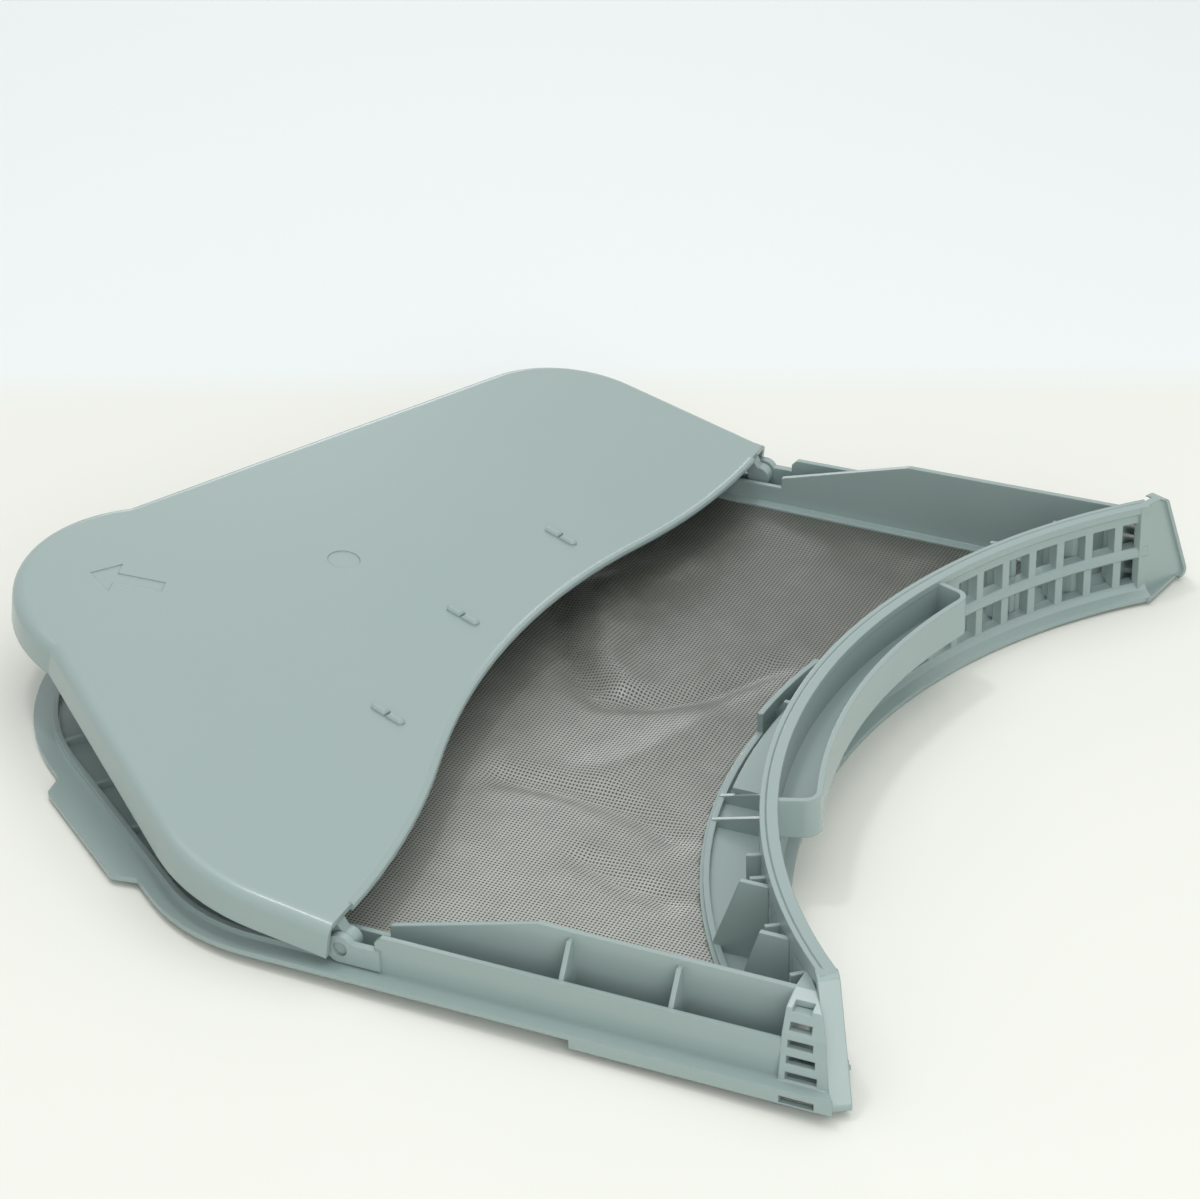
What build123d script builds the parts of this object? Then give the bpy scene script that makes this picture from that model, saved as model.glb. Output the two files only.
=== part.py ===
from build123d import *
import os
from math import asin, cos, degrees, hypot, radians, sin, sqrt, tan

os.makedirs("parts", exist_ok=True)

# Driving dimensions, in mm. +X runs across the filter, +Y towards the cover's free end, +Z up.
# The origin lies under the middle of the filter, at the height of the front lip's underside.

# Plan from above: the right side flares, and two slanting back edges meet at an off-centre apex,
# which the cover rounds less than the tray, so that a finger can reach under it
half_width = 174.0
left_corner_y = 42.0
flare_start_y = -4.0
right_flare = 17.0
right_corner_y = 88.0
left_corner_radius = 68.0
right_corner_radius = 42.0
cover_apex = (-58.5, 186.0)
cover_apex_radius = 52.0
tray_apex = (-64.0, 189.0)
tray_apex_radius = 97.0
back_contact_inset = 22.0

# Tray: flange, double wall and the insets of its walls from the plan
wall = 2.0
flange_overhang = 2.5
flange_bottom = 5.5
flange_thickness = 2.0
outer_wall_inset = 4.0
inner_wall_inset = 14.5
back_wall_height = 2.0
channel_floor = 1.0
rail_wall_top = 20.0
rail_start_y = -22.5
inner_wall_low_top = 17.3
inner_wall_top = 31.6
inner_wall_peak_y = -73.0
inner_wall_back_top = 13.2
inner_wall_back_y = 20.0
rail_chamfer = 2.0
left_rib_count = 5
right_rib_count = 8
back_rib_thickness = 1.6
back_rib_drop = 0.6
rail_rib_ys = (-84.0, -119.5)
skirt_step_y = -90.0
skirt_drop = 3.0

# Tab on the left slanting edge
tab_start = 34.0
tab_length = 70.0
tab_reach = 6.5
tab_chamfer = 7.0
tab_corner = 2.3

# Mesh: a flat screen held between two ledges, sloping with the plane that the filter lies on,
# woven of threads that run across the filter, with gaps between them
mesh_thickness = 0.6
mesh_clearance = 0.3
mesh_border = 5.2
thread_pitch = 5.4
thread_width = 3.2
ledge_width = 5.0
ledge_thickness = 1.5
ledge_gap = 1.6
clamp_width = 4.0
arc_clamp_width = 1.2
clamp_thickness = 1.0

# Front: arc of the grille about a vertical axis in front of the filter
grille_face_y = -101.0
grille_face_radius = 217.0
grille_end_inset = 19.5
grille_thickness = 4.5
grille_top = 36.6
lip_reach = 5.5
lip_thickness = 1.6
lip_knee = 1.8
lip_knee_z = 3.2
lip_rise = 4.6
top_band_height = 2.4
top_band_reach = 1.2
seam_width = 0.6
seam_inset = 1.6
window_columns = 28
window_margin = 1.2
window_bar = 3.2
window_height = 10.0
window_first_z = 5.5
window_row_pitch = 14.6
bar_reach = 1.2
fin_depth = 4.5
fin_thickness = 1.6
end_overlap = 4.0
end_sheet = 3.0
end_depth = 5.5
end_wall = 3.0
end_rim_width = 1.5
end_rim_rise = 1.2
end_bottom_corner = 2.6
end_top_corner = 3.0

# The two ends of the grille: how far each turns away, in degrees, and its reach at top and bottom
left_end = (34.0, 1.5, 21.0)
right_end = (24.0, 9.0, 23.0)

# Handle pocket on the front of the grille
pocket_half_span = 75.6
pocket_depth = 15.0
pocket_bottom = 22.0
pocket_top = 35.6
pocket_wall = 2.0
pocket_corner = 6.0

# Front bay of the tray, between the mesh and the grille
bay_arc_y = -76.5
bay_arc_radius = 212.0
bay_wall_top = 6.5
bay_bottom = 2.2
bay_floor = 2.0
bay_rib_thickness = 1.8
tall_rib_xs = (115.0, 137.5)
tall_rib_top = 32.0
tall_rib_flat = 9.0
low_rib_xs = (37.7, 51.7)
low_rib_top = 12.0
shelf_top = 10.5
shelf_depth = 15.0
catch_start_x = 3.0
catch_end_x = 44.0
catch_rib_x = 14.0
catch_top = 14.0

# End blocks with louvres
block_inset = 2.0
block_width = 24.0
block_length = 10.6
block_wall = 2.0
block_lean = 3.0
shoulder_z = 22.0
shoulder_knee = 6.5
shoulder_knee_z = 29.0
shoulder_width = 13.5
louvre_count = 6
louvre_first_z = 4.2
louvre_pitch = 5.0
louvre_height = 2.4
louvre_cut = 16.0
louvre_lean = 0.2

# Cover
cover_top = 22.0
cover_thickness = 2.2
cover_rim_depth = 12.0
cover_edge_radius = 4.0
cover_front_y = -8.0
cover_front_rise = 23.5
cover_wave_margin = 14.0
bead_radius = 1.5
bead_drop = 1.0
bead_sides = 8
pull_reach = 3.5
nub_places = ((-66.0, 28.7), (0.6, 34.4), (66.9, 28.2))
nub_turn = 15.0
nub_length = 14.0
nub_width = 3.4
nub_height = 1.5
nub_gap = 0.8
nub_chamfer = 0.8
disc_x = 8.3
disc_y = 85.3
disc_diameter = 11.5
mark_depth = 0.4
arrow_length = 26.0
arrow_width = 9.0
arrow_stem = 3.0
arrow_set_in = 34.0

# Hinge
hinge_y = -10.7
hinge_z = 12.8
pin_radius = 2.4
pin_play = 0.06
pin_recess = 1.2
ear_radius = 4.9
ear_stand = 1.0
ear_thickness = 2.8
ear_slit = 0.5
knuckle_radius = 4.2
knuckle_width = 4.6
hinge_side_play = 0.6
open_angle = 9.0

# A length that runs past every edge, for cuts
reach = 400.0

# Worked out from the sizes above
flange_top = flange_bottom + flange_thickness
back_wall_top = flange_top + back_wall_height
well_inset = inner_wall_inset + wall
mesh_bottom = ledge_gap + ledge_thickness
mesh_top = mesh_bottom + mesh_thickness
left_corner = (-half_width, left_corner_y)
right_corner = (half_width + right_flare, right_corner_y)
lip_y = grille_face_y - lip_reach
back_y = tray_apex[1] - back_contact_inset
rest_slope = flange_bottom / (back_y - lip_y)
grille_axis_y = grille_face_y - grille_face_radius
grille_back_radius = grille_face_radius + grille_thickness
grille_half_angle = degrees(asin((half_width - grille_end_inset) / grille_face_radius))
grille_end_y = grille_axis_y + grille_face_radius * cos(radians(grille_half_angle))
window_span = 2 * grille_face_radius * radians(grille_half_angle) - 2 * window_margin
window_pitch = (window_span + window_bar) / window_columns
window_turn = degrees(window_pitch / grille_face_radius)
pocket_half_angle = degrees(asin(pocket_half_span / grille_face_radius))
bay_arc_axis_y = bay_arc_y - bay_arc_radius
block_start_y = grille_end_y + block_length
block_outer = half_width - block_inset
cover_wave_half = half_width - cover_wave_margin
ear_outer = half_width - outer_wall_inset + ear_stand


def rest_z(y):
    """Height of the plane that the front lip and the back of the flange lie on."""
    return rest_slope * (y - lip_y)


def slab(sketch, low, high):
    """A sketch drawn out from one height to another."""
    return extrude(Pos(0, 0, low) * sketch, high - low)


def side_view(points):
    """A side view, as Y and Z points, drawn out across the whole width."""
    return extrude(Plane.YZ * make_face(Polyline(*points, close=True)), reach, both=True)


def layer(low, high):
    """A sheet parallel to the resting plane, between two heights above it."""
    points = [
        (-reach, rest_z(-reach) + low),
        (reach, rest_z(reach) + low),
        (reach, rest_z(reach) + high),
        (-reach, rest_z(-reach) + high),
    ]
    return side_view(points)


def corner_of(sketch, x, y):
    """The corner of a sketch nearest to a point."""
    return sketch.vertices().sort_by_distance(Vector(x, y, 0))[0]


def outline(apex, apex_radius):
    """The outline from above, rounded at its apex, with its sides running on to the front."""
    flare_start = (half_width, flare_start_y)
    corners = [(-half_width, -reach), left_corner, apex, right_corner, flare_start, (half_width, -reach)]
    shape = Sketch() + make_face(Polyline(*corners, close=True))
    shape = fillet(corner_of(shape, *left_corner), left_corner_radius)
    shape = fillet(corner_of(shape, *apex), apex_radius)
    return fillet(corner_of(shape, *right_corner), right_corner_radius)


def plan(grow):
    """The tray's outline, grown outwards."""
    return offset(outline(tray_apex, tray_apex_radius), grow)


def ring(grow_out, grow_in):
    """The band between two outlines."""
    return plan(grow_out) - plan(grow_in)


def back_of(y):
    """Everything behind a line across the filter, as a sketch."""
    return Pos(0, y + reach) * Rectangle(2 * reach, 2 * reach)


def disc(y, radius):
    """A circle about a point on the middle line."""
    return Pos(0, y) * Circle(radius)


def bay_front():
    """The round area in front of the tray that the grille takes up."""
    return disc(grille_axis_y, grille_back_radius)


def bay_hole(radius):
    """The round area in front of the mesh."""
    return disc(bay_arc_axis_y, radius)


def both_sides(part):
    """A piece together with its mirror image across the middle."""
    return part + mirror(part, Plane.YZ)


def at_ends(make):
    """A piece made for the right end of the grille together with its like for the left end."""
    return make(right_end) + mirror(make(left_end), Plane.YZ)


def line_plane(start, end):
    """A plane whose X runs from one point to the other, with Y to its left."""
    return Plane(origin=(*start, 0), x_dir=(end[0] - start[0], end[1] - start[1], 0), z_dir=(0, 0, 1))


# Tray


def tray_flange():
    """Flat flange all round, with the deeper skirt in front of its step."""
    rails = back_of(grille_axis_y)
    flange = slab(ring(flange_overhang, -well_inset) & rails, flange_bottom, flange_top)
    front = rails - back_of(skirt_step_y)
    skirt = ring(flange_overhang, flange_overhang - wall) & front
    skirt = slab(skirt, flange_bottom - skirt_drop, flange_top)
    channel = ring(-outer_wall_inset - wall, -inner_wall_inset) & back_of(left_corner_y)
    return flange + skirt - slab(channel, flange_bottom + channel_floor, flange_top)


def tray_tab():
    """Tab on the left slanting edge, with sloped ends."""
    outer = flange_overhang + tab_reach
    end = tab_start + tab_length
    points = [
        (tab_start, 0),
        (tab_start, outer - tab_chamfer),
        (tab_start + tab_chamfer, outer),
        (end - tab_chamfer, outer),
        (end, outer - tab_chamfer),
        (end, 0),
    ]
    tab = Sketch() + make_face(Polyline(*points, close=True))
    tab = fillet([corner_of(tab, *p) for p in points[1:5]], tab_corner)
    return slab(line_plane(left_corner, tray_apex) * tab, flange_bottom, flange_top)


def tray_walls():
    """Outer wall, low at the back and tall along the rails, and the ramped inner wall."""
    rails = back_of(block_start_y)
    hinge_end = hinge_y + ear_radius + 2 * ear_slit
    outer = slab(ring(-outer_wall_inset, -outer_wall_inset - wall) & rails, flange_bottom, rail_wall_top)
    outer &= side_view([(-reach, 0), (-reach, rail_wall_top), (rail_start_y - rail_chamfer, rail_wall_top),
                        (rail_start_y, rail_wall_top - rail_chamfer), (rail_start_y, flange_top),
                        (hinge_end, flange_top), (hinge_end, back_wall_top), (reach, back_wall_top),
                        (reach, 0)])
    inner = slab(ring(-inner_wall_inset, -well_inset) & rails, 0, inner_wall_top)
    inner &= side_view([(-reach, rest_z(-reach) + ledge_gap), (-reach, inner_wall_top),
                        (inner_wall_peak_y, inner_wall_top), (rail_start_y, inner_wall_low_top),
                        (rail_start_y, inner_wall_back_top), (inner_wall_back_y, inner_wall_back_top),
                        (inner_wall_back_y, back_wall_top), (reach, back_wall_top),
                        (reach, rest_z(reach) + ledge_gap)])
    return outer + inner


def tray_ribs():
    """Cross ribs in the back channel and fins between the walls of the rails."""
    near, far = outer_wall_inset + wall, inner_wall_inset
    ribs = Part()
    edges = ((left_corner, tray_apex, left_rib_count), (tray_apex, right_corner, right_rib_count))
    for start, end, count in edges:
        length = hypot(end[0] - start[0], end[1] - start[1])
        for k in range(count):
            along = length * (k + 1) / (count + 1)
            rib = Pos(along, -(near + far) / 2) * Rectangle(back_rib_thickness, far - near + wall)
            ribs += slab(line_plane(start, end) * rib, flange_bottom, back_wall_top - back_rib_drop)
    ribs &= slab(ring(-near + wall / 2, -far - wall / 2), 0, back_wall_top)
    inner_x, outer_x = half_width - far, half_width - near
    fin = [
        (inner_x - wall / 2, flange_bottom),
        (outer_x + wall / 2, flange_bottom),
        (outer_x + wall / 2, rail_wall_top - wall),
        (inner_x + wall, inner_wall_top - wall),
        (inner_x - wall / 2, inner_wall_top - wall),
    ]
    for y in rail_rib_ys:
        sheet = Plane((0, y, 0), x_dir=(1, 0, 0), z_dir=(0, -1, 0)) * make_face(Polyline(*fin, close=True))
        ribs += both_sides(extrude(sheet, back_rib_thickness / 2, both=True))
    return ribs


def tray_ledge():
    """Ledges that hold the edge of the mesh from below and above, along the inner wall and the arc."""
    well = plan(-well_inset + wall / 2) - bay_hole(bay_arc_radius - wall / 2)
    ledge = Part()
    strips = (
        (ledge_width, ledge_width, ledge_gap, mesh_bottom),
        (clamp_width, arc_clamp_width, mesh_top, mesh_top + clamp_thickness),
    )
    for width, arc_width, low, high in strips:
        hole = plan(-well_inset - width) - bay_hole(bay_arc_radius + arc_width)
        ledge += slab(well - hole, 0, inner_wall_top) & layer(low, high)
    return ledge


def bay_rib(x, top, flat):
    """Upright rib along the bay, level behind the grille and then sloping down to the arc wall."""
    near = grille_axis_y + sqrt(grille_back_radius ** 2 - x ** 2)
    far = bay_arc_axis_y + sqrt(bay_arc_radius ** 2 - x ** 2)
    points = [
        (near - wall, bay_bottom),
        (near - wall, top),
        (near + flat, top),
        (far, bay_wall_top),
        (far, bay_bottom),
    ]
    sheet = Plane.YZ.offset(x) * make_face(Polyline(*points, close=True))
    return extrude(sheet, bay_rib_thickness / 2, both=True)


def tray_bay():
    """Front bay: its floor, the arc wall beside the mesh, a shelf and the ribs up to the grille."""
    sides = plan(-well_inset + wall / 2)
    crescent = (bay_hole(bay_arc_radius) - bay_front()) & sides & back_of(grille_axis_y)
    arc = crescent - bay_hole(bay_arc_radius - wall)
    bay = slab(crescent, bay_bottom, bay_bottom + bay_floor) + slab(arc, bay_bottom, bay_wall_top)
    catch = Pos((catch_start_x + catch_end_x) / 2, 0) * Rectangle(catch_end_x - catch_start_x, 2 * reach)
    bay += slab(arc & catch, bay_bottom, catch_top)
    middle = Rectangle(2 * low_rib_xs[0], 2 * reach) & disc(grille_axis_y, grille_back_radius + shelf_depth)
    bay += slab(crescent & middle, shelf_top - bay_floor, shelf_top)
    ribs = bay_rib(catch_rib_x, catch_top, shelf_depth)
    for x in tall_rib_xs:
        ribs += both_sides(bay_rib(x, tall_rib_top, tall_rib_flat))
    for x in low_rib_xs:
        ribs += both_sides(bay_rib(x, low_rib_top, 0))
    return bay + (ribs & slab(crescent, bay_bottom, tall_rib_top))


def end_block():
    """Hollow block at the right end of the rail, with a leaning side and a sloping shoulder."""
    inner_x = block_outer - block_width
    points = [
        (inner_x, bay_bottom),
        (block_outer, bay_bottom),
        (block_outer, flange_top),
        (block_outer - block_lean, shoulder_z),
        (block_outer - shoulder_knee, shoulder_knee_z),
        (block_outer - shoulder_width, inner_wall_top),
        (inner_x, inner_wall_top),
    ]
    profile = Sketch() + make_face(Polyline(*points, close=True))
    front = Plane((0, block_start_y, 0), x_dir=(1, 0, 0), z_dir=(0, -1, 0))
    length = block_start_y - grille_axis_y
    block = extrude(front * profile, length)
    return block - extrude(front.offset(block_wall) * offset(profile, -block_wall), length)


def louvres(end):
    """Slots in the side of the right block, the lower the longer, through to its hollow."""
    back_edge = end_frame(end).offset(-end_depth).origin
    end_y = back_edge.Y - (block_outer - back_edge.X) * tan(radians(end[0])) + block_wall
    start_y = block_start_y - block_wall
    slots = Part()
    for k in range(louvre_count):
        z = louvre_first_z + k * louvre_pitch
        length = start_y - end_y - louvre_lean * z
        slot = Box(louvre_cut, length, louvre_height, align=(Align.MAX, Align.MAX, Align.CENTER))
        slots += Pos(half_width + flange_overhang + wall, start_y, z) * slot
    return slots


def hinge_ear():
    """Springy ear at the end of the right rail, with the ring that takes the cover's pin."""
    inner_x = ear_outer - ear_thickness
    arm = [
        (rail_start_y - wall, flange_top + ear_slit),
        (rail_start_y - wall, hinge_z + pin_radius),
        (hinge_y, hinge_z + pin_radius),
        (hinge_y, flange_top + ear_slit),
    ]
    side = make_face(Polyline(*arm, close=True)) + Pos(hinge_y, hinge_z) * Circle(ear_radius)
    side -= Pos(hinge_y, hinge_z) * Circle(pin_radius + pin_play)
    ear = extrude(Plane((inner_x, 0, 0), x_dir=(0, 1, 0), z_dir=(1, 0, 0)) * side, ear_thickness)
    return ear - slab(Rectangle(2 * reach, 2 * reach), -reach, flange_top + ear_slit / 2)


def end_frame(end):
    """The plane of the grille's end plate on the right: X outwards along it, Y up, Z to the front."""
    turn = radians(grille_half_angle)
    start = (grille_face_radius * sin(turn), grille_end_y, 0)
    away = radians(end[0])
    return Plane(start, x_dir=(cos(away), -sin(away), 0), z_dir=(-sin(away), -cos(away), 0))


def end_space(end):
    """Everything taken by the right end of the grille and in front of it."""
    half = extrude(end_frame(end).offset(-end_depth) * Rectangle(2 * reach, 2 * reach), reach)
    return half & slab(Pos(reach / 2 + half_width / 2, 0) * Rectangle(reach, 2 * reach), -reach, reach)


def grille_space():
    """Everything taken by the grille and in front of it, which the tray stops short of."""
    return slab(bay_front(), -reach, reach) + at_ends(end_space)


def tray_frame():
    """The moulded tray, all of one piece."""
    tray = tray_flange() + tray_tab() + tray_walls() + tray_ribs() + tray_ledge() + tray_bay()
    tray += both_sides(end_block())
    tray += both_sides(hinge_ear())
    return tray - at_ends(louvres) - grille_space()


# Mesh


def mesh_screen():
    """The woven mesh: a thin sheet with a plain border, open between its threads."""
    shape = plan(-well_inset - mesh_clearance) - bay_hole(bay_arc_radius + mesh_clearance)
    shape &= back_of(grille_axis_y)
    woven = offset(shape, -mesh_border)
    box = woven.bounding_box()
    gap = Rectangle(2 * reach, thread_pitch - thread_width)
    count = int(box.size.Y / thread_pitch)
    gaps = Sketch() + [Pos(0, box.min.Y + (k + 1 / 2) * thread_pitch) * gap for k in range(count)]
    return slab(shape - (woven & gaps), 0, inner_wall_top) & layer(mesh_bottom, mesh_top)


# Grille


def grille_wall():
    """Curved front wall with its flared lip, raised bar and top band."""
    face, back = grille_face_radius, grille_back_radius
    seam = back - seam_inset
    bar_low = window_first_z + window_height
    bar_high = window_first_z + window_row_pitch
    profile = make_face(Polyline(
        (face - lip_reach, 0),
        (face - lip_reach, lip_thickness),
        (face - lip_knee, lip_knee_z),
        (face, lip_rise),
        (face, bar_low),
        (face - bar_reach, bar_low + bar_reach),
        (face - bar_reach, bar_high - bar_reach),
        (face, bar_high),
        (face, grille_top - top_band_height - top_band_reach),
        (face - top_band_reach, grille_top - top_band_height),
        (face - top_band_reach, grille_top),
        (seam - seam_width, grille_top),
        (seam - seam_width / 2, grille_top - seam_width),
        (seam, grille_top),
        (back, grille_top),
        (back, lip_thickness),
        (face, lip_thickness),
        (face - lip_reach + lip_thickness, 0),
        close=True,
    ))
    start = radians(90 - grille_half_angle)
    across = (cos(start), sin(start), 0)
    upright = Plane((0, grille_axis_y, 0), x_dir=across, z_dir=(sin(start), -cos(start), 0))
    return revolve(upright * profile, Axis((0, grille_axis_y, 0), (0, 0, 1)), 2 * grille_half_angle)


def window_angle(column):
    """How far a column of windows is turned from the middle."""
    return (column - (window_columns - 1) / 2) * window_turn


def beside_pocket(angle):
    """Whether a place on the wall is clear of the handle pocket."""
    return abs(angle) > pocket_half_angle + window_turn


def on_grille(angle, part):
    """A piece drawn on the middle line, turned about the grille's axis."""
    return Pos(0, grille_axis_y, 0) * Rot(Z=-angle) * part


def grille_windows():
    """Openings of the wall: two rows beside the pocket, one under it."""
    window = Box(window_pitch - window_bar, 4 * grille_thickness, window_height)
    low = Pos(0, grille_face_radius, window_first_z + window_height / 2) * window
    windows = []
    for column in range(window_columns):
        angle = window_angle(column)
        windows.append(on_grille(angle, low))
        if beside_pocket(angle):
            windows.append(on_grille(angle, Pos(0, 0, window_row_pitch) * low))
    return windows


def grille_fins():
    """Fins behind the bars beside the pocket, left out where a rib of the tray stands."""
    root = grille_back_radius - grille_thickness / 2
    height = window_row_pitch + window_height
    depth = fin_depth + grille_thickness / 2
    fin = Box(fin_thickness, depth, height, align=(Align.CENTER, Align.MIN, Align.MIN))
    fin = Pos(0, root, window_first_z) * fin
    rib_angles = [degrees(asin(x / grille_back_radius)) for x in tall_rib_xs]
    fins = []
    for column in range(window_columns - 1):
        angle = window_angle(column + 1 / 2)
        by_rib = any(abs(abs(angle) - rib) < window_turn / 2 for rib in rib_angles)
        if beside_pocket(angle) and not by_rib:
            fins.append(on_grille(angle, fin))
    return fins


def handle_pocket():
    """Open-topped pocket for the fingers, curved with the grille."""
    face = grille_face_radius
    side = radians(pocket_half_angle)
    wedge = make_face(Polyline((0, 0), (reach * sin(side), reach * cos(side)),
                               (-reach * sin(side), reach * cos(side)), close=True))
    sector = (Circle(face + wall / 2) - Circle(face - pocket_depth)) & wedge
    front = [(face - pocket_depth) * x for x in (sin(side), cos(side))]
    sector = fillet([corner_of(sector, s * front[0], front[1]) for s in (-1, 1)], pocket_corner)
    outer = Pos(0, grille_axis_y) * sector
    inner = Pos(0, grille_axis_y) * offset(sector, -pocket_wall)
    pocket = slab(outer, pocket_bottom, pocket_top)
    return pocket - slab(inner, pocket_bottom + pocket_wall, grille_top)


def end_plate(end):
    """The right end of the grille: a leaning plate with a deep edge, a raised rim and the lip's tail."""
    reach_top, reach_bottom = end[1:]
    points = [
        (-end_overlap, 0),
        (reach_bottom, 0),
        (reach_top, grille_top),
        (-end_overlap, grille_top),
    ]
    plate = Sketch() + make_face(Polyline(*points, close=True))
    plate = fillet(corner_of(plate, *points[1]), end_bottom_corner)
    plate = fillet(corner_of(plate, *points[2]), end_top_corner)
    edge, rim = (plate - Pos(-width, 0) * plate for width in (end_wall, end_rim_width))
    frame = end_frame(end)
    tail_end = (reach_bottom - 2 * end_bottom_corner, 0)
    tail = make_face(Polyline((-end_overlap, 0), (-end_overlap, -lip_reach), tail_end, close=True))
    tail = extrude(Plane(frame.origin, x_dir=frame.x_dir, z_dir=(0, 0, 1)) * tail, lip_thickness)
    sheet = extrude(frame * plate, -end_sheet) + extrude(frame * edge, -end_depth)
    return sheet + extrude(frame * rim, end_rim_rise) + tail


def front_grille():
    """The curved grille with its handle pocket and both ends."""
    return grille_wall() - grille_windows() + grille_fins() + handle_pocket() + at_ends(end_plate)


# Cover


def wave_line():
    """The swept front edge of the cover: three arcs that run into each other."""
    middle_y = cover_front_y + cover_front_rise / 2
    left = TangentArc((-cover_wave_half, cover_front_y), (-cover_wave_half / 2, middle_y), tangent=(1, 0))
    middle = TangentArc(left @ 1, (cover_wave_half / 2, middle_y), tangent=left % 1)
    right = TangentArc(middle @ 1, (cover_wave_half, cover_front_y), tangent=middle % 1)
    return Wire([left, middle, right])


def cover_plan():
    """Outline of the cover, and the centre of its rounded apex."""
    shape = outline(cover_apex, cover_apex_radius)
    arc = shape.edges().filter_by(GeomType.CIRCLE).sort_by_distance(Vector(*cover_apex, 0))[0]
    return shape, (arc.arc_center.X, arc.arc_center.Y)


def cover_shell():
    """Plate and turned-down rim with a rounded edge, cut back to the swept front edge."""
    bottom = cover_top - cover_rim_depth
    shape, centre = cover_plan()
    shape += Pos(*centre) * Circle(cover_apex_radius + pull_reach)
    block = slab(shape, bottom, cover_top)
    block = fillet(block.edges().group_by(Axis.Z)[-1], cover_edge_radius)
    block -= slab(offset(shape, -wall), bottom, cover_top - cover_thickness)
    front = wave_line()
    end_y = cover_front_y
    around = Polyline((cover_wave_half, end_y), (reach, end_y), (reach, reach), (-reach, reach),
                      (-reach, end_y), (-cover_wave_half, end_y))
    kept = make_face([*front.edges(), *around.edges()])
    return block & slab(kept, 0, reach)


def cover_bead():
    """Rounded bead along the front edge."""
    path = Pos(0, 0, cover_top - bead_drop) * wave_line()
    start = Plane(path @ 0, x_dir=(0, 0, 1), z_dir=path % 0)
    return sweep(start * RegularPolygon(bead_radius, bead_sides), path)


def cover_marks(cover):
    """Three split nubs, a shallow round mark and a plain arrow."""
    nub = SlotOverall(nub_length, nub_width, rotation=90) - Rectangle(nub_width, nub_gap)
    nub = slab(nub, cover_top - cover_thickness / 2, cover_top + nub_height)
    nub = chamfer(nub.edges().group_by(Axis.Z)[-1], nub_chamfer)
    for x, y in nub_places:
        cover += Pos(x, y, 0) * Rot(Z=-nub_turn) * nub
    cover -= slab(Pos(disc_x, disc_y) * Circle(disc_diameter / 2), cover_top - mark_depth, cover_top)
    inward = line_plane(cover_apex, cover_plan()[1])
    arrow = make_face(Polyline(
        (0, 0),
        (arrow_width, arrow_width),
        (arrow_width, arrow_stem),
        (arrow_length, arrow_stem),
        (arrow_length, -arrow_stem),
        (arrow_width, -arrow_stem),
        (arrow_width, -arrow_width),
        close=True,
    ))
    return cover - slab(inward * Pos(arrow_set_in, 0) * arrow, cover_top - mark_depth, cover_top)


def cover_knuckle():
    """Right hinge arm under the cover, with its pin pointing outwards."""
    outer_x = ear_outer - ear_thickness - hinge_side_play
    inner_x = outer_x - knuckle_width
    under = cover_top - cover_thickness / 2
    web = [
        (hinge_y - knuckle_radius / 2, hinge_z),
        (hinge_y + knuckle_radius, hinge_z),
        (hinge_y + 2 * knuckle_radius, under),
        (cover_front_y + bead_radius, under),
    ]
    side = make_face(Polyline(*web, close=True)) + Pos(hinge_y, hinge_z) * Circle(knuckle_radius)
    arm = extrude(Plane((inner_x, 0, 0), x_dir=(0, 1, 0), z_dir=(1, 0, 0)) * side, knuckle_width)
    pin_plane = Plane((outer_x - wall, hinge_y, hinge_z), x_dir=(0, 1, 0), z_dir=(1, 0, 0))
    pin_length = wall + hinge_side_play + ear_thickness - pin_recess
    return arm + extrude(pin_plane * Circle(pin_radius), pin_length)


def cover():
    """The cover with its hinge pins, raised to the angle at which it stands open."""
    lid = cover_shell() + cover_bead()
    lid = cover_marks(lid) + both_sides(cover_knuckle())
    return lid.rotate(Axis((0, hinge_y, hinge_z), (1, 0, 0)), open_angle)


nodes = {
    "tray_frame": tray_frame,
    "mesh_screen": mesh_screen,
    "front_grille": front_grille,
    "cover": cover,
}
for name, make in nodes.items():
    export_step(make(), f"parts/{name}.step")
    print(name)
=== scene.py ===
# %% [markdown]
# # A tumble dryer lint filter
#
# The filter is a shallow tray of moulded plastic with a woven screen across its floor, a grille
# along its curved front and a hinged cover over its back half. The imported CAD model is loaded
# first, as a fixed frame in metres. Everything that follows only dresses that frame.

# %% Load the frame
import math

import bmesh
import bpy
from mathutils import Matrix, Vector, kdtree


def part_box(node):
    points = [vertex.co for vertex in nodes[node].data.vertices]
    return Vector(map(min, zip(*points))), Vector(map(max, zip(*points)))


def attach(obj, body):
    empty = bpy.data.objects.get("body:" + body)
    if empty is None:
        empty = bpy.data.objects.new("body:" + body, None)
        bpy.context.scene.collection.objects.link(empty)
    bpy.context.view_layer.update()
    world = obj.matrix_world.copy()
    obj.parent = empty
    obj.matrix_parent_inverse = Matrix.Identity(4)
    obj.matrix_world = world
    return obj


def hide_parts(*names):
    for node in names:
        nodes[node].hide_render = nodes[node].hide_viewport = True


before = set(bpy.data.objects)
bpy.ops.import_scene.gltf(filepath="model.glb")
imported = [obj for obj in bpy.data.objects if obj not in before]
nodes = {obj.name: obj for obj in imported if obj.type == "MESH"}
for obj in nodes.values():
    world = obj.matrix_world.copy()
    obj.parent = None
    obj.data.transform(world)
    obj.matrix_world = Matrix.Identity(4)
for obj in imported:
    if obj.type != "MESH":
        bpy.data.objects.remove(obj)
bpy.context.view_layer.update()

mm = 0.001
scene = bpy.context.scene
scene.view_settings.view_transform = "Standard"
print("CAD nodes:", sorted(nodes))

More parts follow.
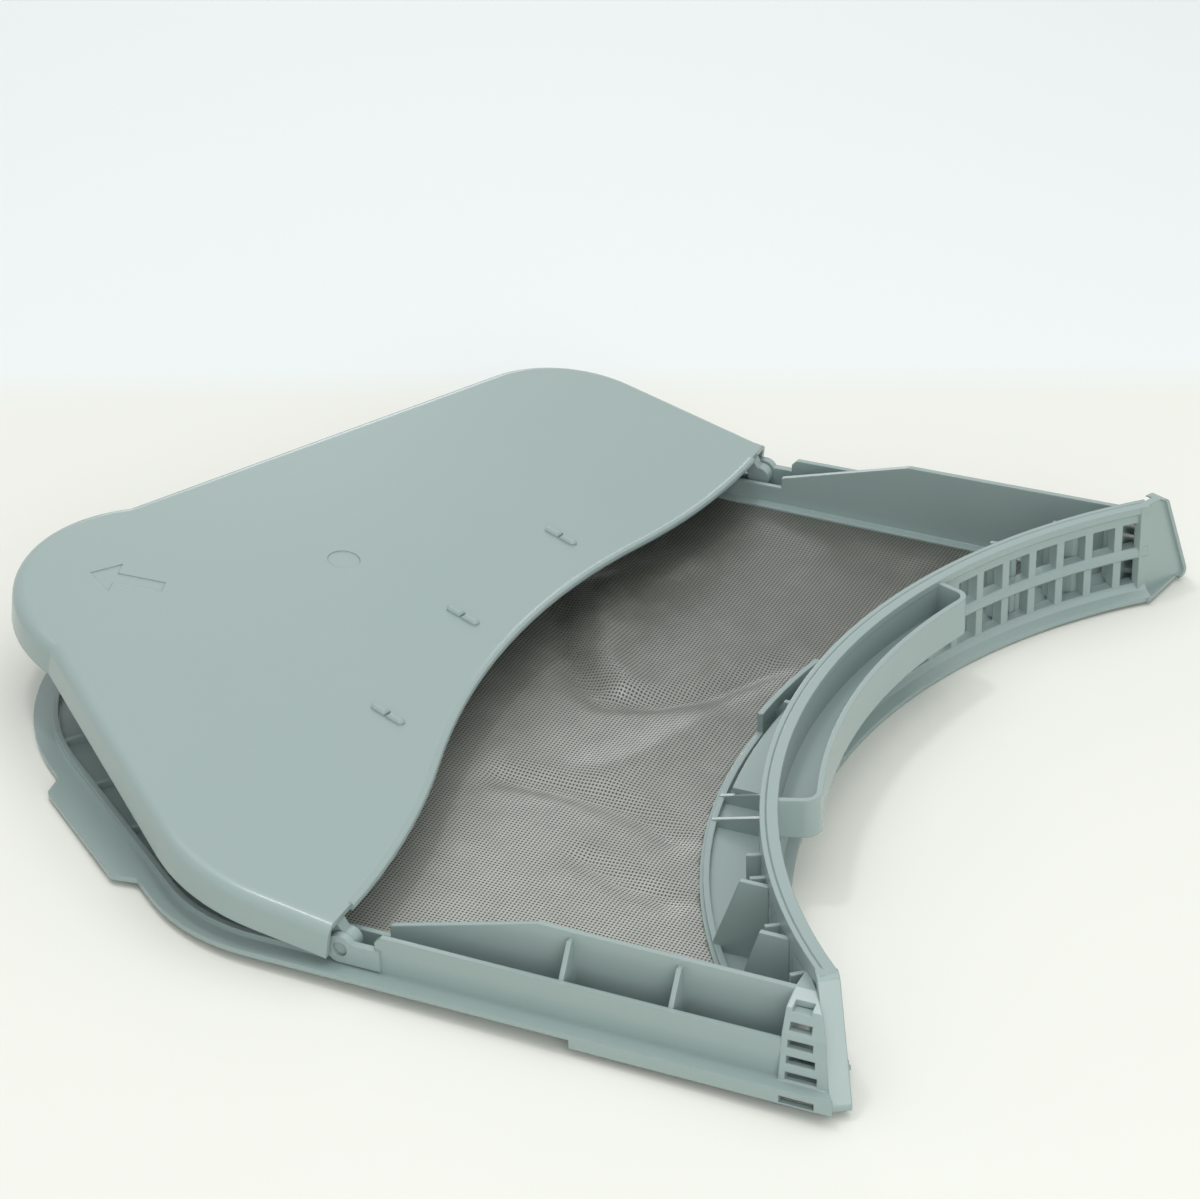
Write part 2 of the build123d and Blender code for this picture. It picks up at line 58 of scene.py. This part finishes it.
# %% [markdown]
# ## Small helpers
#
# Colours are given as sRGB hex values, but Blender's shaders work in linear light, so one
# function turns one into the other. The second adds a node, sets its inputs and links it, which
# keeps each material short enough to read as a list of what it is made of. The third starts a
# material with nothing in it.

# %% Helpers for colour and nodes
def linear(code):
    """A colour written as sRGB hex, in linear light."""
    parts = [int(code[k:k + 2], 16) / 255 for k in (1, 3, 5)]
    return tuple(c / 12.92 if c <= 0.04045 else ((c + 0.055) / 1.055) ** 2.4 for c in parts) + (1.0,)


def add(tree, kind, inputs=None, **settings):
    """A new node with its settings. An input given as a socket is linked, and any other is set."""
    node = tree.nodes.new(kind)
    for name, value in settings.items():
        setattr(node, name, value)
    for name, value in (inputs or {}).items():
        socket = node.inputs[name]
        if isinstance(value, bpy.types.NodeSocket):
            tree.links.new(value, socket)
        else:
            socket.default_value = value
    return node


def start_material(name):
    """An empty material and the tree of its nodes."""
    material = bpy.data.materials.new(name)
    material.use_nodes = True
    material.node_tree.nodes.clear()
    return material, material.node_tree


print("mid grey in linear light:", round(linear("#808080")[0], 3))

# %% [markdown]
# ## The camera
#
# The view is a long lens a little over a metre off, above the left corner of the front. Its place and
# its three directions were worked out from edges of the filter that are straight, level or in
# mirrored pairs. The picture is 1200 by 1199 pixels, and the focal length of 3486 pixels is turned into
# millimetres on a 36 mm sensor.

# %% Camera
picture_width = 1200
focal_pixels = 3486.06
sensor_width_mm = 36.0
camera_place = Vector((-0.922174, -0.458491, 0.628443))
camera_right = Vector((0.417291, -0.908491, -0.022644))
camera_down = Vector((-0.457782, -0.188615, -0.868826))
camera_ahead = Vector((0.785050, 0.372920, -0.494599))

camera = bpy.data.objects.new("camera", bpy.data.cameras.new("camera"))
scene.collection.objects.link(camera)
camera.data.sensor_width = sensor_width_mm
camera.data.lens = focal_pixels / picture_width * sensor_width_mm
turn = Matrix((camera_right, -camera_down, -camera_ahead)).transposed().to_4x4()
camera.matrix_world = Matrix.Translation(camera_place) @ turn
scene.camera = camera
print("lens in mm:", round(camera.data.lens, 2))

# %% [markdown]
# ## The floor
#
# The filter lies on its front lip and on the back of its flange, so the floor is a plane through
# those two, about a degree off level. A hair's gap below the plastic keeps the two surfaces from
# flickering into each other.

# %% Floor: its plane
lip_y = -106.5 * mm
back_y = 167 * mm
back_height = 5.5 * mm
floor_slope = back_height / (back_y - lip_y)
floor_drop = 0.2 * mm
floor_half = 5.0

floor_points = []
for side_x, side_y in ((-1, -1), (1, -1), (1, 1), (-1, 1)):
    x = side_x * floor_half
    y = side_y * floor_half
    floor_points.append((x, y, floor_slope * (y - lip_y) - floor_drop))
floor_mesh = bpy.data.meshes.new("floor")
floor_mesh.from_pydata(floor_points, [], [(0, 1, 2, 3)])
floor = bpy.data.objects.new("floor", floor_mesh)
scene.collection.objects.link(floor)
print("floor slope in degrees:", round(math.degrees(math.atan(floor_slope)), 2))

# %% [markdown]
# The floor is pale, with a cooler tone further back, where the paper behind starts. The two tones
# meet along a line that crosses the view squarely. Both are matt, so a plain diffuse shader is
# enough.

# %% Floor: table and paper
table_colour = linear("#ECECE5")
paper_colour = linear("#ECF0EF")
paper_start = 1.275
paper_blur = 0.02

floor_material, tree = start_material("pale_table_and_paper")
floor_place = add(tree, "ShaderNodeTexCoord").outputs["Object"]
level = Vector((camera_ahead.x, camera_ahead.y, 0)).normalized()
along = add(tree, "ShaderNodeVectorMath", {0: floor_place, 1: level}, operation="DOT_PRODUCT")
start = level.dot(camera_place) + paper_start
paper = add(tree, "ShaderNodeMapRange",
            {"Value": along.outputs["Value"], "From Min": start - paper_blur,
             "From Max": start + paper_blur}, interpolation_type="SMOOTHSTEP")
tone = add(tree, "ShaderNodeMix",
           {"Factor": paper.outputs["Result"], "A": table_colour, "B": paper_colour},
           data_type="RGBA")
matt = add(tree, "ShaderNodeBsdfDiffuse", {"Color": tone.outputs["Result"]})
print("paper starts, in m along the view:", round(start, 3))

# %% [markdown]
# The lamps only reach a metre or two, so past that the floor would turn grey. There it shows a
# plain pale colour instead to the camera, to gloss and through glass, while the rays that carry
# light still find the floor itself. The floor near the filter keeps its shadow.

# %% Floor: pale distance
def seen_directly(tree):
    """One for rays from the camera, off gloss or through glass, none for those that carry light."""
    rays = add(tree, "ShaderNodeLightPath").outputs
    shiny = add(tree, "ShaderNodeMath",
                {0: rays["Is Glossy Ray"], 1: rays["Is Transmission Ray"]}, operation="ADD")
    direct = add(tree, "ShaderNodeMath",
                 {0: rays["Is Camera Ray"], 1: shiny.outputs[0]}, operation="ADD", use_clamp=True)
    return direct.outputs[0]


distance_colour = linear("#EEF2F1")
distance_start = 0.9
distance_end = 1.8

away = add(tree, "ShaderNodeVectorMath", {0: floor_place}, operation="LENGTH")
far = add(tree, "ShaderNodeMapRange",
          {"Value": away.outputs["Value"], "From Min": distance_start, "From Max": distance_end},
          interpolation_type="SMOOTHSTEP")
shown = add(tree, "ShaderNodeMath",
            {0: far.outputs["Result"], 1: seen_directly(tree)}, operation="MULTIPLY")
distance = add(tree, "ShaderNodeEmission", {"Color": distance_colour})
surface = add(tree, "ShaderNodeMixShader",
              {0: shown.outputs[0], 1: matt.outputs["BSDF"], 2: distance.outputs["Emission"]})
add(tree, "ShaderNodeOutputMaterial", {"Surface": surface.outputs["Shader"]})
floor_mesh.materials.append(floor_material)
print("floor material:", floor_material.name, "with", len(tree.nodes), "nodes")

# %% [markdown]
# ## The light
#
# The light is a studio's: one very wide lamp overhead, a second one low beside the camera and a
# bright, even room. Wide lamps give soft shadows, which only darken where the plastic nearly touches
# the table. The low lamp lights the upright walls, and the room fills the rest. A wide lamp leaves
# no glint, so a small weak one overhead draws the thin bright line along the cover's rounded edge.
# One more, low and far behind, grazes the screen so that its folds show. All are kept at a level
# where a colour comes out about as it is written.

# %% Light: lamps
lamps = [  # name, place, point that it faces, side of its square in m, power in W
    ("overhead_lamp", (0.1, -0.1, 1.5), (0, 0, 0), 2.2, 14),
    ("small_lamp", (-0.05, 0.26, 1.4), (0, 0, 0), 0.14, 2.2),
    ("back_lamp", (1.28, 0.74, 0.6), (0, 0, 0), 0.35, 1.5),
    ("camera_side_lamp", (-1.1, -0.9, 0.5), (0, 0, 0.02), 1.0, 7.8),
]
for name, place, target, side, power in lamps:
    lamp = bpy.data.objects.new(name, bpy.data.lights.new(name, "AREA"))
    lamp.data.size = side
    lamp.data.energy = power
    lamp.location = place
    lamp.rotation_mode = "QUATERNION"
    lamp.rotation_quaternion = (Vector(target) - Vector(place)).to_track_quat("-Z", "Y")
    scene.collection.objects.link(lamp)

# %% Light: room
room_colour = linear("#F2F6F6")
room_strength = 0.56

room = bpy.data.worlds.new("pale_room")
scene.world = room
room.use_nodes = True
tree = room.node_tree
tree.nodes.clear()
fill = add(tree, "ShaderNodeBackground", {"Color": room_colour, "Strength": room_strength})
backdrop = add(tree, "ShaderNodeBackground", {"Color": distance_colour})
surface = add(tree, "ShaderNodeMixShader",
              {0: seen_directly(tree), 1: fill.outputs["Background"],
               2: backdrop.outputs["Background"]})
add(tree, "ShaderNodeOutputWorld", {"Surface": surface.outputs["Shader"]})
print("room strength:", room_strength)

# %% [markdown]
# ## Grey-green moulded plastic
#
# The tray, grille and cover are injection-moulded ABS in a cool grey-green. Its gloss is soft, and
# broad areas drift a little in tone where the melt cooled unevenly. One broad noise drives both, so
# that tone and gloss change together.

# %% Plastic: tone and gloss
plastic_warm = linear("#98A8A5")
plastic_cool = linear("#92A4A2")
plastic_ior = 1.54
plastic_rough_low = 0.2
plastic_rough_high = 0.27
tone_patch = 60 * mm
tone_detail = 3.0

plastic, tree = start_material("moulded_grey_abs")
place = add(tree, "ShaderNodeTexCoord").outputs["Object"]
patches = add(tree, "ShaderNodeTexNoise",
              {"Vector": place, "Scale": 1 / tone_patch, "Detail": tone_detail})
tone = add(tree, "ShaderNodeMix",
           {"Factor": patches.outputs["Fac"], "A": plastic_warm, "B": plastic_cool},
           data_type="RGBA")
gloss = add(tree, "ShaderNodeMapRange",
            {"Value": patches.outputs["Fac"], "To Min": plastic_rough_low, "To Max": plastic_rough_high})

# %% [markdown]
# Moulded ABS also has a faint texture from the tool's skin. Its sharp edges are slightly rounded and
# catch a thin line of light, which the bevel node gives without changing the CAD mesh.

# %% Plastic: skin and edges
skin_grain = 0.35 * mm
skin_detail = 2.0
skin_depth = 0.05 * mm
skin_strength = 0.06
edge_round = 0.6 * mm
edge_samples = 6

grain = add(tree, "ShaderNodeTexNoise",
            {"Vector": place, "Scale": 1 / skin_grain, "Detail": skin_detail})
edges = add(tree, "ShaderNodeBevel", {"Radius": edge_round}, samples=edge_samples)
skin = add(tree, "ShaderNodeBump",
           {"Height": grain.outputs["Fac"], "Strength": skin_strength, "Distance": skin_depth,
            "Normal": edges.outputs["Normal"]})
surface = add(tree, "ShaderNodeBsdfPrincipled",
              {"Base Color": tone.outputs["Result"], "IOR": plastic_ior,
               "Roughness": gloss.outputs["Result"], "Normal": skin.outputs["Normal"]})
add(tree, "ShaderNodeOutputMaterial", {"Surface": surface.outputs["BSDF"]})

plastic_pieces = ("tray_frame", "front_grille", "cover")
for name in plastic_pieces:
    nodes[name].data.materials.clear()
    nodes[name].data.materials.append(plastic)
print(plastic.name, "on:", plastic_pieces)

# %% [markdown]
# ## The woven screen
#
# The screen is a plain-woven mesh stretched over the tray's ledge. In the CAD model it is a flat
# sheet with coarse gaps. Here its outline is taken over and filled with a fine grid, so that the
# sheet can be given the shallow folds that a mesh gets when it is a little slack.

# %% Screen: outline of the CAD sheet
def outer_edge(node):
    """The outer edge of the face of a CAD sheet that looks up, as points in order."""
    looks_up = 0.5
    weld = 1e-6
    shape = bmesh.new()
    shape.from_mesh(node.data)
    other_faces = [f for f in shape.faces if f.normal.z < looks_up]
    bmesh.ops.delete(shape, geom=other_faces, context="FACES")
    bmesh.ops.remove_doubles(shape, verts=shape.verts, dist=weld)
    first = min((v for v in shape.verts if v.is_boundary), key=lambda v: v.co.x)
    points = []
    here = first
    came_by = None
    while here != first or not points:
        points.append(here.co.copy())
        came_by = next(e for e in here.link_edges if e.is_boundary and e != came_by)
        here = came_by.other_vert(here)
    shape.free()
    return points


sheet = bmesh.new()
face = sheet.faces.new([sheet.verts.new(p) for p in outer_edge(nodes["mesh_screen"])])
face.normal_update()
if face.normal.z < 0:
    face.normal_flip()
flat_area = face.calc_area()
print("points on the outline:", len(sheet.verts), "flat area in square mm:", round(flat_area / mm ** 2))

# %% [markdown]
# A single face can't bend, so it is cut along evenly spaced lines both ways. Cutting keeps the
# outline exactly as it was, which a grid of points laid over it would not.

# %% Screen: grid
grid_spacing = 4 * mm
cut_reach = 1e-7
low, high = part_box("mesh_screen")

for axis, normal in enumerate((Vector((1, 0, 0)), Vector((0, 1, 0)))):
    for k in range(1, int((high[axis] - low[axis]) / grid_spacing) + 1):
        parts = sheet.verts[:] + sheet.edges[:] + sheet.faces[:]
        cut_place = normal * (low[axis] + k * grid_spacing)
        bmesh.ops.bisect_plane(sheet, geom=parts, dist=cut_reach, plane_co=cut_place, plane_no=normal)
print("screen faces:", len(sheet.faces))

# %% [markdown]
# Each fold is a soft ridge or hollow along a bent line. Its height falls away from the line like a
# bell curve. Adding up a handful of these gives the slack, uneven look of a real mesh without any
# simulation, and the same result each time.

# %% Screen: folds
folds = [  # points of the line in mm, height in mm, half width in mm
    ([(-53, -9), (-51, -33), (-55, -58), (-63, -76)], -2.8, 4.2),
    ([(-86, -54), (-94, -75), (-95, -89)], -2.4, 4),
    ([(51, 20), (16, -2), (4, -19), (11, -36), (22, -49), (47, -62)], -3.0, 4.4),
    ([(74, 15), (32, -6), (16, -22)], 2.8, 4.6),
    ([(83, 8), (103, -4)], 1.8, 6),
    ([(-35, -40), (-21, -48), (3, -57)], 2.2, 6.5),
    ([(141, -20), (136, -44)], 1.6, 5.5),
    ([(146, -64), (141, -83)], 1.6, 5.5),
]


def gap_to_line(place, line):
    """How far a place is from a bent line."""
    gaps = []
    for a, b in zip(line, line[1:]):
        share = (place - a).dot(b - a) / (b - a).length_squared
        nearest = a.lerp(b, min(1.0, max(0.0, share)))
        gaps.append((place - nearest).length)
    return min(gaps)


def fold_height(place):
    """Height of all the folds together at a place, in metres."""
    total = 0.0
    for points, height, half_width in folds:
        gap = gap_to_line(place, [Vector(p) * mm for p in points])
        total += height * mm * math.exp(-(gap / (half_width * mm)) ** 2 / 2)
    return total


print("height of the folds at the middle, in mm:", round(fold_height(Vector((0, 0))) / mm, 2))

# %% [markdown]
# The tray holds the screen all round, so the folds die away over the last centimetre or so towards
# its edge. A smooth step does that without a visible kink. The sheet is then given its thickness.

# %% Screen: bend the grid
hold_width = 14 * mm
thickness = 0.4 * mm

rim = [v for v in sheet.verts if v.is_boundary]
rim_points = kdtree.KDTree(len(rim))
for k, v in enumerate(rim):
    rim_points.insert(v.co, k)
rim_points.balance()
for v in sheet.verts:
    _, _, gap = rim_points.find(v.co)
    free = min(1.0, gap / hold_width)
    v.co.z += fold_height(v.co.to_2d()) * free * free * (3 - 2 * free)
bmesh.ops.solidify(sheet, geom=sheet.faces[:], thickness=thickness)

screen_mesh = bpy.data.meshes.new("woven_screen")
sheet.to_mesh(screen_mesh)
sheet.free()
for face in screen_mesh.polygons:
    face.use_smooth = True
screen = bpy.data.objects.new("woven_screen", screen_mesh)
scene.collection.objects.link(screen)
heights = [v.co.z / mm for v in screen_mesh.vertices]
print("screen heights in mm:", round(min(heights), 2), "to", round(max(heights), 2))

# %% [markdown]
# ## The weave
#
# The mesh is an open plain weave of round polyester threads: each goes over one and under the next,
# and the square holes are painted dark, as painted shade for the shaded space below. Threads of real
# geometry would be far too many, so a material draws them. A sine wave each way gives the round
# backs of the threads. Their product changes sign from one crossing to the next, so a share of it is
# added to one set and taken from the other, which lifts the thread that is on top. The higher of the
# two is what shows. The threads are 1.3 mm apart, which is between three and four pixels of the picture.

# %% Weave: threads
thread_pitch = 1.3 * mm
crossing_lift = 0.22

weave, tree = start_material("woven_polyester_mesh")
place = add(tree, "ShaderNodeTexCoord").outputs["Object"]
axes = add(tree, "ShaderNodeSeparateXYZ", {"Vector": place}).outputs
waves = []
backs = []
for axis in ("X", "Y"):
    angle = add(tree, "ShaderNodeMath", {0: axes[axis], 1: math.pi / thread_pitch},
                operation="MULTIPLY")
    wave = add(tree, "ShaderNodeMath", {0: angle.outputs[0]}, operation="SINE")
    back = add(tree, "ShaderNodeMath", {0: wave.outputs[0]}, operation="ABSOLUTE")
    waves.append(wave.outputs[0])
    backs.append(back.outputs[0])
crossing = add(tree, "ShaderNodeMath", {0: waves[0], 1: waves[1]}, operation="MULTIPLY").outputs[0]
lifted = []
for back, lift in zip(backs, (-crossing_lift, crossing_lift)):
    raised = add(tree, "ShaderNodeMath", {0: crossing, 1: lift, 2: back}, operation="MULTIPLY_ADD")
    lifted.append(raised.outputs[0])
top = add(tree, "ShaderNodeMath", {0: lifted[0], 1: lifted[1]}, operation="MAXIMUM").outputs[0]
print("threads across the screen:", round((high[0] - low[0]) / thread_pitch))

# %% [markdown]
# Painted shade darkens the threads from the near side towards the far rail, standing for that rail's
# shadow and the dark wall that the threads reflect beside it. Uneven flecks add a random tone on top.
# Where the waves are low there is no thread, and the hole's painted shade shows.

# %% Weave: colour
thread_unshaded = linear("#ACAEA6")
# The darker thread colour is reached both through the random flecks and through the painted shade
# towards the far rail.
thread_shaded_and_flecked = linear("#5E5F57")
# The holes are painted near-black: painted shade for the shaded table under the tray, seen through them.
hole_painted_shade = linear("#12110F")
fleck_size = 9 * mm
fleck_detail = 4.0
fleck_share = 0.5
shade_start_x = -140 * mm
shade_full_x = 80 * mm
shade_at_start = -0.25
shade_at_full = 0.75
hole_top = 0.5
thread_top = 1.0

flecks = add(tree, "ShaderNodeTexNoise",
             {"Vector": place, "Scale": 1 / fleck_size, "Detail": fleck_detail})
# Painted shade: a ramp along X darkens the threads towards the far rail, for that rail's shadow and the
# dark wall they reflect.
painted_shade_ramp = add(tree, "ShaderNodeMapRange",
            {"Value": axes["X"], "From Min": shade_start_x, "From Max": shade_full_x,
             "To Min": shade_at_start, "To Max": shade_at_full})
# Random flecks of tone plus the painted shade ramp, clamped to one.
shade_and_flecks = add(tree, "ShaderNodeMath",
             {0: flecks.outputs["Fac"], 1: fleck_share, 2: painted_shade_ramp.outputs["Result"]},
             operation="MULTIPLY_ADD", use_clamp=True)
thread = add(tree, "ShaderNodeMix",
             {"Factor": shade_and_flecks.outputs[0], "A": thread_unshaded, "B": thread_shaded_and_flecked},
             data_type="RGBA")
solid = add(tree, "ShaderNodeMapRange",
            {"Value": top, "From Min": hole_top, "From Max": thread_top}).outputs["Result"]
colour = add(tree, "ShaderNodeMix",
             {"Factor": solid, "A": hole_painted_shade, "B": thread.outputs["Result"]}, data_type="RGBA")
print("weave so far:", len(tree.nodes), "nodes")

# %% [markdown]
# Drawn polyester is smooth, so the backs of the threads shine, and the holes send nothing back. The
# same waves give the threads a slight relief.

# %% Weave: gloss and relief
polyester_ior = 1.55
polyester_specular = 0.9
hole_rough = 0.9
thread_rough = 0.3
relief_strength = 0.6
relief_depth = 0.1 * mm

relief = add(tree, "ShaderNodeBump",
             {"Height": top, "Strength": relief_strength, "Distance": relief_depth})
gloss = add(tree, "ShaderNodeMapRange",
            {"Value": solid, "To Min": hole_rough, "To Max": thread_rough})
surface = add(tree, "ShaderNodeBsdfPrincipled",
              {"Base Color": colour.outputs["Result"], "IOR": polyester_ior,
               "Roughness": gloss.outputs["Result"], "Specular IOR Level": polyester_specular,
               "Normal": relief.outputs["Normal"]})
add(tree, "ShaderNodeOutputMaterial", {"Surface": surface.outputs["BSDF"]})
screen_mesh.materials.append(weave)
print(weave.name, "on:", screen.name)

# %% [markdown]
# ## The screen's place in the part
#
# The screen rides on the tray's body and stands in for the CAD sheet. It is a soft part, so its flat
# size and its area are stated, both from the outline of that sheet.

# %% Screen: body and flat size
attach(screen, "frame")
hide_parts("mesh_screen")
print("flat size in mm:", [round((high[k] - low[k]) / mm, 1) for k in (0, 1)])
